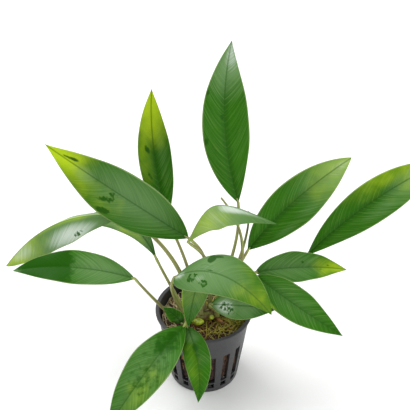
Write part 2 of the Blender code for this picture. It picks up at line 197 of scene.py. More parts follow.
LEAVES = (
    Leaf(
        "tall", (6.6, 3.3, 47), (17.6, 14, 107), (10.4, 24, 151), (13.7, 38, 189), 25, (0.3, -1, 0.5),
        belly=0.46, fullness=2.1, lean=(5, 1.5, 22), neck=(2, -4, -24),
    ),
    Leaf(
        "back_left", (-5, -1.8, 47.2), (-19.5, 22, 90), (-26, 36, 125), (-26.5, 46, 155.5), 18,
        (0.3, -1, 0.5), lean=(0, 2, 22), neck=(7, -9, -12),
    ),
    Leaf(
        "left", (0, -2.6, 47.2), (-8, 6, 90), (-44, 4, 122), (-78, 10, 147), 29.5, (-0.3, -1, 0.6),
        lift=(8, 20), fullness=2.1, lean=(0, 8, 20), neck=(13, 2, -14),
    ),
    Leaf(
        "folded", (3, -0.6, 47.2), (-8.2, -3, 95), (5.8, -4, 119.8), (37, -3, 107), 22.5, (0, -0.3, 1),
        lift=(-55, -38), belly=0.48, fullness=1.6, bend=2.5, steady=1, lean=(1, 1, 22),
        neck=(15, 1, -14),
    ),
    Leaf(
        "right", (12.8, 5.2, 46.9), (23, 8, 80), (46, 16, 106), (76, 30, 124), 26, (0.2, -1, 0.7),
        lift=(28, 12), belly=0.5, lean=(3, 1, 18),
    ),
    Leaf(
        "far_right", (15.3, 8, 46.3), (55.5, 23, 63), (87, 30, 93), (124, 40, 113), 23, (0, -1, 0.8),
        lift=(22, 12), belly=0.55, lean=(8, 3, 16),
    ),
    Leaf(
        "right_level", (8.2, 0.8, 47), (27, 2, 70), (52, 6, 70), (75, 4, 70), 18, (0, -0.3, 1),
        lift=(38, 8), lean=(4, 0, 14),
    ),
    Leaf(
        "left_pale", (-7.8, -1.5, 47), (-41, 14, 98), (-77, 14, 93), (-107, 18, 60), 24,
        (-0.3, -0.4, 1), lift=(-40, -50), belly=0.46, fullness=1.7, skew=0.1, stalk=1,
        lean=(0, -1, 28), neck=(17, -3, -9),
    ),
    Leaf(
        "left_behind", (-12, 0.5, 46.3), (-25.6, 14, 69.5), (-43, 24, 86), (-70, 34, 76), 12, (0, -1, 1),
        lift=(25, 12), belly=0.5, fullness=2.2, lean=(-3, 2, 8),
    ),
    Leaf(
        "left_low", (-16.8, -3, 41.6), (-36, -4, 71), (-67, -6, 80.5), (-98, -8, 80), 19, (0, -0.5, 1),
        belly=0.46, lean=(-6, 0, 9), neck=(6, 0, -10),
    ),
    Leaf(
        "front", (-12, -5, 47), (-15, -14, 81), (9, -23, 90.5), (34.2, -28, 68), 22.5, (0.2, -0.7, 0.7),
        lift=(0, 0), belly=0.475, fullness=1.6, steady=1, skew=0.125, lean=(-2, -1, 12),
    ),
    Leaf(
        "drooping", (-1.6, -5.9, 47.3), (-1, -2, 67), (-4.3, -11, 69), (-8.3, -21, 53), 14, (0, -1, 0.6),
        belly=0.5, lean=(0, 1, 8),
    ),
    Leaf(
        "low_left", (-10, -6.8, 46.7), (-10, -17, 50), (-27.5, -45, 48), (-49, -61.8, 21), 22.5,
        (0, -0.4, 1), belly=0.5, lean=(0, -2, 2),
    ),
    Leaf(
        "low_front", (-7.3, -7.7, 45.6), (-9, -13, 45.4), (-3, -40, 45.5), (-3, -53, 30), 14,
        (0, -0.4, 1), lean=(0, -2, 1),
    ),
    Leaf(
        "small", (-14.5, -4.8, 44.5), (-11.8, -12, 46.2), (-15.6, -13, 53.4), (-21.3, -13, 59), 8,
        (0, -1, 0.4), lean=(0, -1, 0), neck=(0.5, 1, -1.5),
    ),
    Leaf(
        "low_right", (6, -1.6, 47), (27, -4, 73), (48, -18, 64.5), (71, -30, 55), 19, (0.2, -0.7, 1),
        lean=(4, 0, 14),
    ),
    Leaf(
        "under", (6.8, -4.4, 44.9), (3.6, -11, 59.2), (21, -14, 61), (39, -12, 57), 15, (0, -0.8, 0.7),
        lean=(1, -1, 6),
    ),
)


class Patch(NamedTuple):
    """A soft-edged cloud on a blade: its place along (0 foot to 1 tip) and across (-1 to 1), its half
    length and half width in the same shares, its strength and its turn in degrees."""

    kind: str
    along: float
    across: float
    length: float
    width: float
    strength: float = 1.0
    turn: float = 0.0


# What each blade's tissue shows, and where reflection of the bright surroundings is painted on it. kind is
# young, the painted grey-green reflection, the painted near-white highlight, deep (darker green, partly
# painted where no reflection falls) or marks
PATCHES = {
    "tall": (
        Patch("painted_sheen", 0.97, 0, 0.42, 2.2),
        Patch("painted_highlight", 0.95, 0.3, 0.3, 2.0, 0.85),
        Patch("deep", 0.53, -0.13, 0.03, 0.22, 0.8),
        Patch("deep", 0.4, -0.9, 0.035, 0.24, 0.8),
        Patch("deep", 0.68, -0.92, 0.03, 0.22, 0.8),
    ),
    "back_left": (
        Patch("young", 1.05, 0, 0.65, 2.4, 1.1),
        Patch("young", 0.6, -0.6, 0.5, 0.8, 0.45),
        Patch("painted_sheen", 0.5, 0.45, 0.45, 0.5, 0.35),
        Patch("deep", 0.5, -0.4, 0.05, 0.3, 0.75, 20),
        Patch("deep", 0.32, -0.5, 0.04, 0.25, 0.75, 20),
    ),
    "left": (
        Patch("young", 1.05, 0, 0.46, 2.4, 1.1),
        Patch("young", 0.7, -0.6, 0.4, 1.0, 0.34),
        Patch("painted_sheen", 0.4, 0.2, 0.5, 1.5, 0.7),
        Patch("painted_sheen", 0.72, -0.1, 0.16, 0.6, 0.9),
        Patch("deep", 0.52, -0.42, 0.16, 0.07, 1.1, -64),
        Patch("deep", 0.51, -0.14, 0.06, 0.06, 1.1, -64),
        Patch("deep", 0.495, -0.82, 0.12, 0.1, 1.1, -64),
        Patch("deep", 0.82, 0.35, 0.07, 0.3, 0.9, 20),
    ),
    "folded": (
        Patch("young", 0.25, 0.5, 0.8, 2.8, 0.44),
        Patch("painted_sheen", 0.5, 0.4, 0.9, 2.6, 0.8),
        Patch("painted_highlight", 0.4, 0.6, 0.8, 2.0, 0.69),
        Patch("painted_highlight", 0.72, 0.15, 0.4, 0.5, 0.98),
        Patch("deep", 0.5, -0.1, 0.08, 0.1, 1.2),
    ),
    "right": (
        Patch("young", 1.05, 0, 0.6, 2.6, 0.5),
        Patch("painted_sheen", 0.9, 0.2, 0.5, 2.0, 0.75),
        Patch("painted_highlight", 0.95, 0.1, 0.35, 2.0, 0.72),
        Patch("painted_sheen", 0.62, 0.65, 0.3, 0.5, 0.45),
        Patch("painted_sheen", 0.3, 0.75, 0.2, 0.3, 0.4),
    ),
    "far_right": (
        Patch("young", 0.8, -0.8, 0.55, 1.0, 0.42),
        Patch("young", 1.0, 0, 0.4, 2.4, 0.5),
        Patch("painted_highlight", 0.93, 0.2, 0.25, 1.5, 0.8),
        Patch("painted_sheen", 0.95, 0.2, 0.45, 1.5, 0.85),
        Patch("painted_sheen", 0.6, 0.55, 0.3, 0.6, 0.45),
    ),
    "right_level": (
        Patch("painted_sheen", 0.35, 0, 0.65, 1.8, 0.55),
        Patch("young", 1.0, 0, 0.5, 1.8, 0.7),
        Patch("deep", 0.5, -0.3, 0.03, 0.16, 0.8),
        Patch("deep", 0.7, 0.2, 0.025, 0.12, 0.8),
        Patch("deep", 0.78, -0.25, 0.03, 0.15, 0.8),
    ),
    "left_pale": (
        Patch("painted_sheen", 0.4, -0.3, 0.7, 2.2, 0.9),
        Patch("painted_highlight", 0.42, -0.7, 0.45, 0.95, 0.98),
        Patch("young", 1.0, 0, 0.5, 2.2, 0.62),
        Patch("painted_highlight", 0.85, -0.3, 0.25, 1.2, 0.8),
        Patch("young", 0.5, 0.1, 0.6, 0.4, 0.5),
        Patch("marks", 0.36, -0.75, 0.1, 0.25),
    ),
    "left_behind": (
        Patch("painted_sheen", 0.4, -0.3, 0.6, 2.0, 0.95),
        Patch("young", 0.4, -0.6, 0.4, 0.8, 0.4),
    ),
    "left_low": (
        Patch("deep", 0.74, 0, 0.32, 3.4, 1.35),
        Patch("painted_sheen", 0.25, 0, 0.45, 1.9, 0.7),
        Patch("painted_sheen", 1.0, 0, 0.12, 1.8, 0.9),
    ),
    "front": (
        Patch("painted_sheen", 0.35, 0, 0.55, 2.0),
        Patch("painted_highlight", 0.04, 0, 0.16, 0.8, 0.95),
        Patch("painted_highlight", 0.3, 0.35, 0.16, 0.5, 0.72),
        Patch("young", 0.92, 0, 0.5, 2.2, 0.34),
        Patch("deep", 0.345, -0.74, 0.055, 0.3, 1.5),
        Patch("deep", 0.4, -0.86, 0.09, 0.14, 0.8),
        Patch("deep", 0.3, -0.4, 0.16, 0.05, 0.8, 24),
        Patch("deep", 0.36, -0.1, 0.16, 0.05, 0.8, 24),
        Patch("marks", 0.21, 0.35, 0.09, 0.4, 1.3),
        Patch("marks", 0.36, 0.55, 0.07, 0.3, 1.3),
    ),
    "drooping": (
        Patch("painted_highlight", 0.42, -0.3, 0.14, 1.3, 0.95),
        Patch("painted_sheen", 0.5, 0, 0.6, 2.4, 0.7),
        Patch("young", 0.5, 0, 0.6, 2.4, 0.25),
        Patch("young", 0.7, 1.0, 0.5, 0.15, 0.5),
    ),
    "low_left": (
        Patch("painted_sheen", 0.6, 0, 0.7, 2.2, 0.5),
        Patch("deep", 0.25, 0.1, 0.25, 1.2, 0.75),
        Patch("deep", 0.55, -0.1, 0.4, 1.6, 0.5),
        Patch("young", 0.7, -0.4, 0.4, 1.2, 0.25),
    ),
    "low_front": (
        Patch("young", 0.55, 0.5, 0.6, 1.2, 0.22),
        Patch("deep", 0.35, 0, 0.2, 0.4, 0.7),
        Patch("painted_sheen", 0.15, 0, 0.15, 1.2, 0.6),
    ),
    "small": (
        Patch("young", 0.6, -1.0, 0.6, 0.25, 0.3),
        Patch("painted_sheen", 0.2, 0, 0.3, 1.2, 0.5),
    ),
    "low_right": (
        Patch("painted_sheen", 0.45, 0.1, 0.6, 1.8, 0.38),
        Patch("young", 0.2, 0.95, 0.3, 0.2, 0.5),
    ),
    "under": (
        Patch("painted_highlight", 0.2, 0.2, 0.3, 1.3, 0.95),
        Patch("painted_sheen", 0.5, 0, 0.4, 1.8, 0.8),
        Patch("marks", 0.25, 0.2, 0.22, 0.9),
    ),
}

# Bare stalks: a stub that lost its blade and a young leaf still rolled up
BARE_STALKS = (
    ("stalk_stub", (10.4, 3, 47), (20, 5, 83), (8.7, 8, 115), 1.0),
    ("rolled_leaf", (10, 6.6, 46.6), (20.5, 12, 78), (23, 13, 102), 0.9),
)

BLADE_ROWS, BLADE_COLUMNS = 72, 24
STALK_ROWS, STALK_SIDES = 28, 12
STALK_ROOT_SHARE, STALK_NECK_SHARE = 1.25, 0.9
STALK_HANDLE_SHARE = 0.4

# Depth of the groove over the midrib, and height of the waves along the margins. The waves turn through
# WAVE_TURN radians from foot to tip, which is about three waves
GROOVE_DEPTH = 0.35
WAVE_HEIGHT, WAVE_TURN = 0.45, 19
# The tone up to which the painted reflection is grey-green, with a painted near-white highlight above it, and
# the power that shapes a cloud's soft edge
PAINTED_SHEEN_TOP, CLOUD_EDGE = 0.6, 1.3
# Points of a blade that are nearer to each other than this, in metres, become one
WELD_WITHIN = 0.000002

# A stalk flares over the first share of its length, has a small joint near its end, and goes on under
# the blade as a rib. The rib's middle is RIB_SINK metres and nearly half its radius below the upper side
FLARE, FLARE_SHARE = 0.5, 0.12
JOINT, JOINT_AT, JOINT_LENGTH = 0.14, 0.95, 0.03
RIB_SINK = 0.0009

# A side vein leaves the midrib at about 48 degrees and turns towards the tip
VEIN_SLOPE = 0.9
VEIN_CURVE_PER_MM = 0.06

# Rhizome: the middle of each stretch and its radius
RHIZOME_PATH = (
    (-15, -1, 43.4, 2.2),
    (-9, -3.5, 43.9, 2.7),
    (-2, -4.5, 44, 2.8),
    (4, -2, 43.9, 2.8),
    (9, 3, 43.8, 2.7),
    (15, 8.5, 43.4, 2.3),
)
# The bud's middle, the way from there to its right end, and its radius
BUD_AT, BUD_REACH, BUD_RADIUS = (-3.2, -8.4, 43.9), (3.2, 0, 0.3), 2
STUB_FROM, STUB_TO, STUB_RADIUS = (3, -4, 43), (4.4, -7, 46), 1.4
ROOT_PATH = ((5, -2, 43), (8, -6, 43), (10.5, -8.5, 42.6))
ROOT_RADIUS = 1.3

MOSS_AT, MOSS_SIZE = (17.5, -6.5, 42.9), (4.6, 5.0, 2.1)
STRAND_PATH = ((18, -6, 43.5), (21.5, -5.5, 46.2), (25, -5, 47.6), (28, -4.5, 47), (29.5, -4, 45.6))

SLOT_COUNT = 17
SLOT_FIRST_ANGLE = 11.4
SLOT_WIDTH, SLOT_DEPTH = 3.9, 8.0
SLOT_BOTTOM, SLOT_TOP = 8.0, 30.0
WINDOW_WIDTH, WINDOW_DEPTH = 3.3, 6.0
WINDOW_BOTTOM, WINDOW_TOP = 3.5, 7.0
FLOOR_SLOT_WIDTH = 2.6
FLOOR_SLOT_INNER, FLOOR_SLOT_OUTER = 11.5, 16.0
CUT_PAST = 1.0
EDGE_CHAMFER = 0.4
PLUG_GAP = 0.3
POT_SIDES = SLOT_COUNT * 12
SHARP_ANGLE = math.radians(30)

# Plug: rows up its side, points around it, steps in over its top, and the depth of its frayed side
PLUG_ROWS, PLUG_SIDES, PLUG_TOP_RINGS = 40, 120, 16
PLUG_FRAY = 0.9

# Loose strands: their steps, how far they stay inside the plug's edge, the share of their thickness that
# they lose, and their sides
STRAND_STEPS, STRAND_INSET, STRAND_TAPER, STRAND_SIDES = 9, 0.5, 0.6, 5
LYING_COUNT, SLOT_STRANDS, MOSS_THREADS = 260, 7, 240
# Lying strands start within this share of the plug's radius
LYING_WITHIN = 0.93
# Rows of a strand behind a slot on each side of its middle, and of the strand over the rim
SLOT_STRAND_ROWS, RIM_ROWS = 3, 24
# Rows along the rhizome, the leaf scars on it, and rows along its bud, stub and thick root
RHIZOME_ROWS, LEAF_SCARS, SHORT_ROWS = 90, 12, 14

CAMERA_AT, SENSOR_WIDTH = (0.54, -466.5, 491.9), 36
FLOOR_SIZE = 4
LAMP_AIM = (0, 0, 0.08)


# Helpers


def settings():
    return bpy.context.scene.anubias


def node(tree, kind, inputs=None, **values):
    """Adds a shader node. values are its settings, and inputs gives a socket's value or the output that
    feeds it."""
    made = tree.nodes.new("ShaderNode" + kind)
    for name, value in values.items():
        setattr(made, name, value)
    for socket, value in (inputs or {}).items():
        if isinstance(value, bpy.types.NodeSocket):
            tree.links.new(value, made.inputs[socket])
        else:
            made.inputs[socket].default_value = value
    return made


def new_material(name):
    """A material with an empty node tree, and the call that adds a node to it."""
    material = bpy.data.materials.new(name)
    material.use_nodes = True
    material.node_tree.nodes.clear()
    return material, partial(node, material.node_tree)


def piece(name, mesh, materials, replaced=()):
    """Puts a mesh in the scene as a piece of the plant, in place of the CAD nodes that it is given."""
    made = bpy.data.objects.new(name, mesh)
    bpy.context.scene.collection.objects.link(made)
    for material in materials:
        mesh.materials.append(material)
    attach(made, "root")
    if replaced:
        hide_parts(*replaced)
    return made


def mesh_of(name, bm, smooth=True):
    """The bmesh as a mesh of its own."""
    mesh = bpy.data.meshes.new(name)
    bm.to_mesh(mesh)
    bm.free()
    if smooth:
        mesh.shade_smooth()
    return mesh


def applied(obj):
    """The object's evaluated mesh in place of its own, with its modifiers gone."""
    graph = bpy.context.evaluated_depsgraph_get()
    mesh = bpy.data.meshes.new_from_object(obj.evaluated_get(graph))
    obj.modifiers.clear()
    obj.data = mesh
    return obj


def bezier(a, b, c, d, t):
    """The point at t on a cubic curve with handles b and c."""
    s = 1 - t
    return a * s**3 + b * 3 * s * s * t + c * 3 * s * t * t + d * t**3


def through(points, t):
    """The point at t, from 0 to 1, on a smooth curve through all the points."""
    last = len(points) - 1
    first = min(int(t * last), last - 1)
    share = t * last - first
    a, b = points[first], points[first + 1]
    before, after = points[max(first - 1, 0)], points[min(first + 2, last)]
    return bezier(a, a + (b - before) / 6, b - (after - a) / 6, b, share)


def sweep(bm, points, radii, sides, uv=None):
    """Adds a round rod along points, with a radius at each and closed ends, mapped around and along."""
    ring_before, normal = None, None
    last = len(points) - 1
    for number, (at, radius) in enumerate(zip(points, radii)):
        along = (points[min(number + 1, last)] - points[max(number - 1, 0)]).normalized()
        if normal is None:
            normal = along.orthogonal()
        normal = (normal - along * normal.dot(along)).normalized()
        other = along.cross(normal)
        turns = [2 * math.pi * side / sides for side in range(sides)]
        ring = [bm.verts.new(at + (normal * math.cos(a) + other * math.sin(a)) * radius) for a in turns]
        if ring_before:
            for side in range(sides):
                following = (side + 1) % sides
                quad = (ring_before[side], ring_before[following], ring[following], ring[side])
                face = bm.faces.new(quad)
                if uv:
                    corners = ((side, number - 1), (side + 1, number - 1), (side + 1, number), (side, number))
                    for loop, (around, row) in zip(face.loops, corners):
                        loop[uv].uv = (around / sides, row / last)
        else:
            bm.faces.new(ring[::-1])
        ring_before = ring
    bm.faces.new(ring_before)


def swept_mesh(name, rods, sides):
    """One mesh of many round rods, each a list of points and a list of radii in metres."""
    bm = bmesh.new()
    uv = bm.loops.layers.uv.new("length")
    for points, radii in rods:
        sweep(bm, points, radii, sides, uv)
    return mesh_of(name, bm)


# Blades


def midrib(leaf, t):
    """The point and the direction of the midrib at t, from 0 at the foot to 1 at the tip."""
    foot, middle, tip = mm(*leaf.foot), mm(*leaf.middle), mm(*leaf.tip)
    handle = (middle * (2 + 2 * leaf.bend) - foot - tip) / (2 * leaf.bend)
    near, turn, far = (1 - t) ** 2, 2 * leaf.bend * t * (1 - t), t * t
    point = (foot * near + handle * turn + tip * far) / (near + turn + far)
    along = (handle - foot) * near + (tip - foot) * t * (1 - t) / leaf.bend + (tip - handle) * far
    return point, along.normalized()


def half_width(leaf, t, side):
    """Half the blade's width at t: nothing at the foot and the tip, and all of it at the belly."""
    if t <= 0 or t >= 1:
        return 0.0
    belly = leaf.belly - math.copysign(leaf.skew, side)
    low, high = leaf.fullness * belly, leaf.fullness * (1 - belly)
    rise = (t / belly) ** low * ((1 - t) / (1 - belly)) ** high
    return leaf.width * 0.0005 * rise


def blade_frame(leaf, t):
    """The midrib's point, the way up from the upper side and the way to its right at t."""
    point, along = midrib(leaf, t)
    chord = (mm(*leaf.tip) - mm(*leaf.foot)).normalized()
    along = along.lerp(chord, leaf.steady).normalized()
    up = Vector(leaf.faces)
    up = (up - along * up.dot(along)).normalized()
    return point, up, along.cross(up)


def blade_point(leaf, t, side, groove, number):
    """The point of the upper side at t along the blade, with side from -1 left to 1 right."""
    point, up, right = blade_frame(leaf, t)
    reach = half_width(leaf, t, side) * abs(side)
    tilt = math.radians(leaf.lift[0] if side < 0 else leaf.lift[1])
    outward = right * math.copysign(math.cos(tilt), side) + up * math.sin(tilt)
    dip = GROOVE_DEPTH * math.exp(-((reach * 1000 / (groove / 2)) ** 2)) * (1 - t) ** 0.5
    phase = WAVE_TURN * t + 2.4 * number + 1.3 * math.copysign(1, side)
    wave = WAVE_HEIGHT * math.sin(phase) * abs(side) ** 3 * math.sin(math.pi * t)
    return point + outward * reach - up * (leaf.curl * reach * abs(side) + mm(dip - wave, 0, 0).x)


def cloud(patch, t, side):
    """How strongly a patch shows at a place on the blade."""
    turn = math.radians(patch.turn)
    along, across = t - patch.along, (side - patch.across) * 0.5
    x = along * math.cos(turn) + across * math.sin(turn)
    y = across * math.cos(turn) - along * math.sin(turn)
    away = math.hypot(x / patch.length, 2 * y / patch.width)
    return patch.strength * (1 - away * away) ** CLOUD_EDGE if away < 1 else 0.0


def tone(leaf, t, side):
    """The blade's tone at a place: young, painted reflection, deep and marks, each from 0 to 1. The
    painted reflection is grey-green up to a set tone and a near-white highlight above it."""
    found = dict.fromkeys(("young", "painted_sheen", "painted_highlight", "deep", "marks"), 0.0)
    for patch in PATCHES[leaf.name]:
        found[patch.kind] = max(found[patch.kind], cloud(patch, t, side))
    # Painted reflection: grey-green clouds fill the tone up to a set value, and the painted near-white
    # highlight lies above it
    painted_reflection = max(PAINTED_SHEEN_TOP * min(1.0, found["painted_sheen"]), found["painted_highlight"])
    return [min(1.0, value) for value in (found["young"], painted_reflection, found["deep"], found["marks"])]


def blade_mesh(leaf, number, sizes):
    """The blade's upper side as a fine grid, with its tissue and its painted reflection as a tone, and its
    veins mapped in metres: across the blade, and along it from vein to vein."""
    bm = bmesh.new()
    bmesh.ops.create_grid(bm, x_segments=BLADE_COLUMNS, y_segments=BLADE_ROWS, size=1)
    layer = bm.verts.layers.float_color.new("tone")
    share_map = bm.loops.layers.uv.new("blade")
    vein_map = bm.loops.layers.uv.new("veins")
    length = sum(
        (midrib(leaf, (row + 1) / BLADE_ROWS)[0] - midrib(leaf, row / BLADE_ROWS)[0]).length
        for row in range(BLADE_ROWS)
    )
    placed = {}
    for vert in bm.verts:
        side, share = vert.co.x, (vert.co.y + 1) / 2
        eased = (1 - math.cos(math.pi * share)) / 2
        t = (share + eased) / 2
        across = half_width(leaf, t, side) * side
        away = abs(across) * 1000
        phase = t * length - mm(VEIN_SLOPE * away + VEIN_CURVE_PER_MM * away * away, 0, 0).x
        placed[vert] = ((side / 2 + 0.5, t), (across, phase + number * 0.2))
        vert.co = blade_point(leaf, t, side, sizes.midrib_width, number)
        vert[layer] = tone(leaf, t, side)
    for face in bm.faces:
        for loop in face.loops:
            loop[share_map].uv, loop[vein_map].uv = placed[loop.vert]
    bmesh.ops.remove_doubles(bm, verts=bm.verts, dist=WELD_WITHIN)
    return mesh_of(f"leaf_{leaf.name}", bm)


def side_veins(add, vein_at, clouds, spacing):
    """Side veins: one thin line in every vein spacing, a little uneven."""
    uneven = add("Math", {0: clouds.outputs["Fac"], 1: 2.2}, operation="MULTIPLY")
    turn = add(
        "Math",
        {0: vein_at.outputs["Y"], 1: 2 * math.pi * 1000 / spacing, 2: uneven.outputs[0]},
        operation="MULTIPLY_ADD",
    )
    swing = add("Math", {0: turn.outputs[0]}, operation="SINE")
    return add(
        "MapRange",
        {"Value": swing.outputs[0], "From Min": 0.75, "From Max": 1.0},
        interpolation_type="SMOOTHSTEP",
    )


def leaf_material(sizes):
    """Living leaf with a smooth waxy skin, whose roughness gives a faint real highlight that breaks up along
    the veins. Clouds of grey-green and near-white are painted reflection of the bright surroundings, and
    clouds of deep green, partly painted where no reflection falls, and young yellow-green lie beside them."""
    material, add = new_material("leaf, waxy upper side with painted reflection")
    blade = add("UVMap", uv_map="blade")
    veins = add("UVMap", uv_map="veins")
    at = add("SeparateXYZ", {0: blade.outputs[0]})
    vein_at = add("SeparateXYZ", {0: veins.outputs[0]})
    tones = add("Attribute", attribute_name="tone")
    kinds = add("SeparateColor", {0: tones.outputs["Color"]})
    place = add("TexCoord")

    # Streaks are 1.1 mm wide and 14 mm long, and lie along the veins
    stretch = add("VectorMath", {0: veins.outputs[0], 1: (1000 / 14, 1000 / 1.1, 0)}, operation="MULTIPLY")
    streaks = add("TexNoise", {"Vector": stretch.outputs[0], "Scale": 1, "Detail": 3})
    # Clouds are about 9 mm across, the cells' grain 0.7 mm, the frayed marks 1.6 mm and ragged edges 3 mm
    clouds, grain, spots, ragged = (
        add("TexNoise", {"Vector": place.outputs["Object"], "Scale": 1000 / size, "Detail": detail})
        for size, detail in ((9, 2), (0.7, 2), (1.6, 2), (3, 3))
    )

    vein = side_veins(add, vein_at, clouds, sizes.vein_spacing)
    off_middle = add("Math", {0: vein_at.outputs["X"]}, operation="ABSOLUTE")
    rib = add(
        "MapRange",
        {"Value": off_middle.outputs[0], "From Min": sizes.midrib_width * 0.0006, "From Max": 0.0001},
        interpolation_type="SMOOTHSTEP",
    )
    centred = add("Math", {0: at.outputs["X"], 1: 2, 2: -1}, operation="MULTIPLY_ADD")
    sideways = add("Math", {0: centred.outputs[0]}, operation="ABSOLUTE")
    edge = add(
        "MapRange",
        {"Value": sideways.outputs[0], "From Min": 0.93, "From Max": 0.98},
        interpolation_type="SMOOTHSTEP",
    )

    colour = add(
        "Mix", {0: clouds.outputs["Fac"], 6: (*sizes.green, 1), 7: (*sizes.dark, 1)}, data_type="RGBA"
    )
    shade = add(
        "MapRange",
        {"Value": off_middle.outputs[0], "From Min": 0.004, "From Max": 0.0005},
        interpolation_type="SMOOTHSTEP",
    )
    # Each layer: what it follows, the noise that frays its edge and by how much, where it starts and is
    # full, its colour and how much of it shows
    layers = (
        (streaks.outputs["Fac"], clouds, 0.2, 0.45, 0.8, sizes.light, 0.3),
        (shade.outputs[0], streaks, 0.6, 0.1, 1.1, sizes.dark, 0.6),
        (vein.outputs[0], clouds, 1.1, 0.3, 1.15, sizes.light, 0.15),
        # Painted grey-green reflection of the bright surroundings
        (kinds.outputs[1], streaks, 0.3, 0.05, 0.6, sizes.painted_sheen, 0.9),
        (kinds.outputs[0], clouds, 0.5, 0.05, 1.0, sizes.young, 0.97),
        # Painted near-white highlight, where the painted reflection is strongest
        (kinds.outputs[1], streaks, 0.4, 0.56, 1.1, sizes.painted_highlight, 0.88),
        # Deep green: partly dark patches of the leaf, partly painted darker where no reflection falls
        (kinds.outputs[2], ragged, 1.0, 0.3, 0.75, sizes.deep, 0.92),
        (tones.outputs["Alpha"], spots, 2.4, 0.7, 1.05, sizes.dark, 0.95),
        (rib.outputs[0], grain, 0.0, 0.0, 1.0, sizes.dark, 0.5),
        (edge.outputs[0], clouds, 0.6, 0.3, 1.0, sizes.margin, 0.45),
    )
    for follows, frays, amount, start, full, paint, most in layers:
        frayed = add("Math", {0: frays.outputs["Fac"], 1: amount, 2: -amount / 2}, operation="MULTIPLY_ADD")
        total = add("Math", {0: follows, 1: frayed.outputs[0]})
        mask = add(
            "MapRange",
            {"Value": total.outputs[0], "From Min": start, "From Max": full, "To Max": most},
            interpolation_type="SMOOTHSTEP",
        )
        colour = add("Mix", {0: mask.outputs[0], 6: colour.outputs[2], 7: (*paint, 1)}, data_type="RGBA")

    relief = add("Math", {0: streaks.outputs["Fac"], 1: 0.5, 2: vein.outputs[0]}, operation="MULTIPLY_ADD")
    bump = add("Bump", {"Height": relief.outputs[0], "Strength": 0.3, "Distance": 0.0002})
    rough = add(
        "MapRange",
        {"Value": streaks.outputs["Fac"], "From Min": 0.3, "From Max": 0.7, "To Min": 0.3, "To Max": 0.46},
    )
    shader = add(
        "BsdfPrincipled",
        {
            "Base Color": colour.outputs[2],
            "Roughness": rough.outputs[0],
            "Normal": bump.outputs[0],
            "IOR": 1.42,
            "Specular IOR Level": 0.1,
        },
    )
    add("OutputMaterial", {"Surface": shader.outputs[0]})
    return material


def underside_material(sizes):
    """The same leaf from below: matt, paler and greyer, because it has hardly any waxy coat, with its
    side veins standing out as pale ridges."""
    material, add = new_material("leaf, matt under side")
    place = add("TexCoord")
    veins = add("UVMap", uv_map="veins")
    vein_at = add("SeparateXYZ", {0: veins.outputs[0]})
    clouds = add("TexNoise", {"Vector": place.outputs["Object"], "Scale": 1000 / 6, "Detail": 3})
    colour = add(
        "Mix", {0: clouds.outputs["Fac"], 6: (*sizes.under, 1), 7: (*sizes.green, 1)}, data_type="RGBA"
    )
    vein = side_veins(add, vein_at, clouds, sizes.vein_spacing)
    shown = add("Math", {0: vein.outputs[0], 1: 0.35}, operation="MULTIPLY")
    colour = add(
        "Mix", {0: shown.outputs[0], 6: colour.outputs[2], 7: (*sizes.margin, 1)}, data_type="RGBA"
    )
    relief = add("Math", {0: clouds.outputs["Fac"], 1: 0.5, 2: vein.outputs[0]}, operation="MULTIPLY_ADD")
    bump = add("Bump", {"Height": relief.outputs[0], "Strength": 0.4, "Distance": 0.0003})
    shader = add(
        "BsdfPrincipled",
        {"Base Color": colour.outputs[2], "Roughness": 0.6, "Normal": bump.outputs[0], "IOR": 1.42},
    )
    add("OutputMaterial", {"Surface": shader.outputs[0]})
    return material


class ANUBIAS_OT_blades(bpy.types.Operator):
    """Grow the blades"""

    bl_idname = "anubias.blades"
    bl_label = "Blades"

    def execute(self, context):
        sizes = settings().leaf
        upper, under = leaf_material(sizes), underside_material(sizes)
        for number, leaf in enumerate(LEAVES):
            mesh = blade_mesh(leaf, number, sizes)
            blade = piece(f"leaf_{leaf.name}", mesh, (upper, under), [f"blade_{leaf.name}"])
            solid = blade.modifiers.new("thickness", "SOLIDIFY")
            solid.thickness = sizes.thickness * 0.001
            solid.offset = -1
            solid.material_offset = 1
            solid.material_offset_rim = 0
        return {"FINISHED"}


# Stalks


def stalk_line(leaf):
    """Points and radii of a stalk from its root to the blade's foot and on as the rib under the blade."""
    root, (foot, along) = mm(*leaf.root), midrib(leaf, 0)
    straight = (foot - root).normalized()
    reach = (foot - root).length * STALK_HANDLE_SHARE
    upper = foot - (along + straight).normalized() * reach
    if leaf.neck:
        upper = foot + mm(*leaf.neck)
    lower = root + mm(*leaf.lean)
    points, radii = [], []
    for row in range(STALK_ROWS + 1):
        t = row / STALK_ROWS
        flare = 1 + FLARE * max(0.0, 1 - t / FLARE_SHARE)
        joint = 1 + JOINT * math.exp(-(((t - JOINT_AT) / JOINT_LENGTH) ** 2))
        share = STALK_ROOT_SHARE + (STALK_NECK_SHARE - STALK_ROOT_SHARE) * t
        points.append(bezier(root, lower, upper, foot, t))
        radii.append(leaf.stalk * 0.001 * share * flare * joint)
    neck = radii[-1]
    for row in range(1, STALK_ROWS):
        t = row / STALK_ROWS
        point, up, _ = blade_frame(leaf, t)
        radius = neck * (0.75 * (1 - t) ** 1.2 + 0.1)
        points.append(point - up * (RIB_SINK + radius * 0.45) * min(1.0, 30 * t))
        radii.append(radius)
    return points, radii


